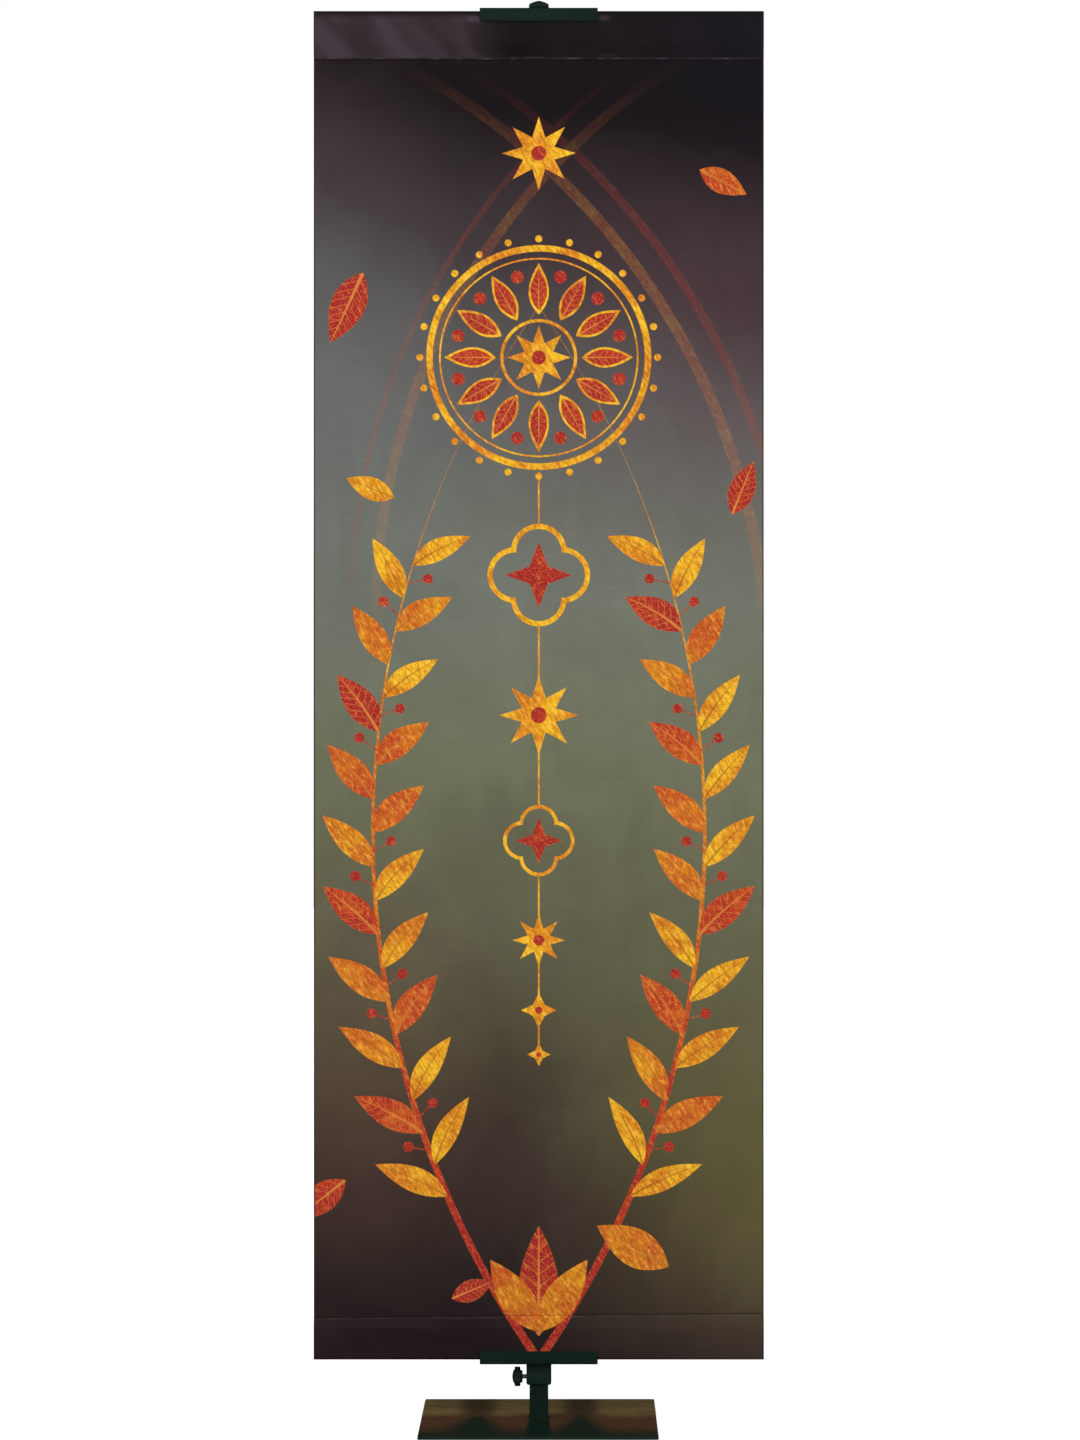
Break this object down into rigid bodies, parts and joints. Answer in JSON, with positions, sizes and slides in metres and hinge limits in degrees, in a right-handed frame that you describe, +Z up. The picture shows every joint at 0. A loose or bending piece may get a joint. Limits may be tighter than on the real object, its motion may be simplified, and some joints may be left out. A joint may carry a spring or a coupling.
{
  "type": "worship flag on a banner stand",
  "caption": "Tall printed cloth banner with a batten in each end pocket, held flat by clamps on a square pole with a square base plate.",
  "frame": {"origin": "on the floor, under the middle of the square base plate", "axes": "+Z up the pole, -Y towards the printed front, +X to the right seen from the front"},
  "size_m": [0.61, 0.32, 1.9325],
  "materials": {
    "base_enamel": "glossy black enamel",
    "powder_coat": "satin black powder coat",
    "moulded_plastic": "satin black moulded plastic",
    "printed_cloth": "satin polyester, printed on one face",
    "batten_wood": "planed, unfinished",
    "screw_steel": "zinc plated"
  },
  "bodies": {
    "stand": {"base_plate": "base_enamel", "pole": "powder_coat", "pole_cap": "moulded_plastic", "lower_sleeve": "moulded_plastic", "lower_clamp": "powder_coat", "upper_clamp": "powder_coat", "upper_spacer": "powder_coat", "banner_cloth": "printed_cloth", "top_batten": "batten_wood", "bottom_batten": "batten_wood"},
    "knob": {"knob_head": "moulded_plastic", "knob_screw": "screw_steel"}
  },
  "joints": [
    {"name": "knob_turn", "type": "hinge", "parent": "stand", "child": "knob", "pos_m": [-0.025, 0, 0.06], "axis": [-1, 0, 0], "range_deg": [0, 450]}
  ]
}
